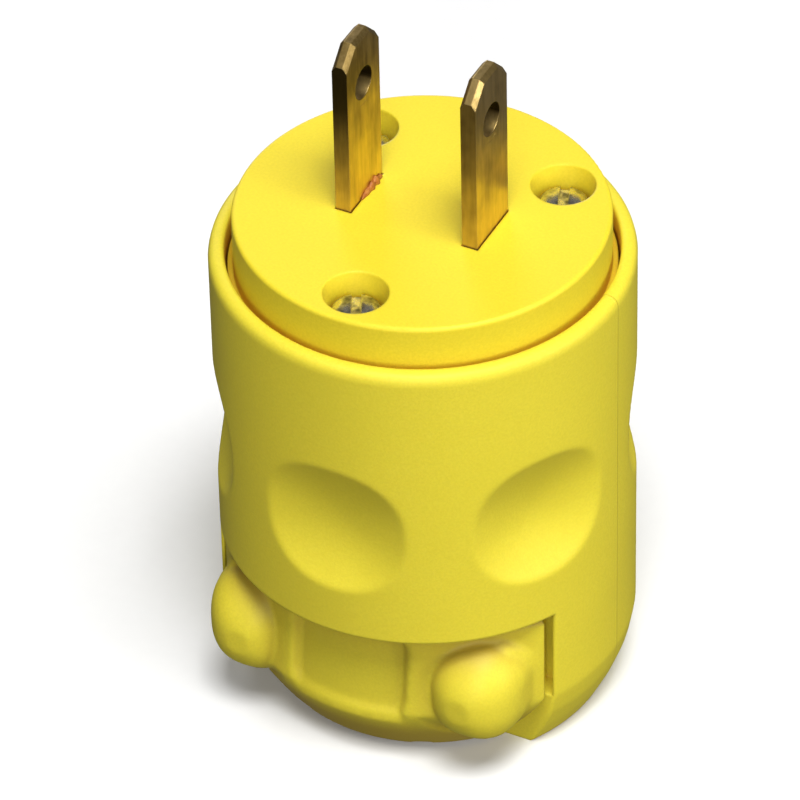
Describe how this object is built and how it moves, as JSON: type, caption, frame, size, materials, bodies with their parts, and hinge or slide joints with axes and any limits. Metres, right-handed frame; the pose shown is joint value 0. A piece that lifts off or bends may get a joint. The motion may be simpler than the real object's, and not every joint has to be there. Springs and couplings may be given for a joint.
{
  "type": "two-blade power plug",
  "caption": "Two-blade power plug with a round face proud of a dimpled vinyl shell, brass blades with tip holes, recessed face screws and a humped cord clamp.",
  "frame": {"origin": "on the plug's axis, at the mouth of the cord entry in the plane of the rear end", "axes": "+Z along the plug's axis towards the blades, -Y towards the clamp jaw, X across the two blades"},
  "size_m": [0.039, 0.039, 0.0697],
  "materials": {
    "yellow_vinyl": "satin moulded vinyl",
    "yellow_face": "satin moulded plastic",
    "dark_insulator": "moulded insulator",
    "blade_brass": "rolled brass strip, lightly worn",
    "insert_brass": "turned brass",
    "plated_steel": "nickel plated"
  },
  "bodies": {
    "root": {"blade_carrier": "dark_insulator", "blade_left": "blade_brass", "blade_right": "blade_brass", "clamp_insert_left": "insert_brass", "clamp_insert_right": "insert_brass", "clamp_jaw": "yellow_vinyl", "clamp_screw_left": "plated_steel", "clamp_screw_right": "plated_steel", "face_insert": "yellow_face", "face_screw_front": "plated_steel", "face_screw_left": "plated_steel", "face_screw_right": "plated_steel", "shell": "yellow_vinyl", "shell_insert_front": "insert_brass", "shell_insert_left": "insert_brass", "shell_insert_right": "insert_brass", "terminal_screw_left": "plated_steel", "terminal_screw_right": "plated_steel", "wire_clamp_left": "plated_steel", "wire_clamp_right": "plated_steel"}
  },
  "joints": []
}
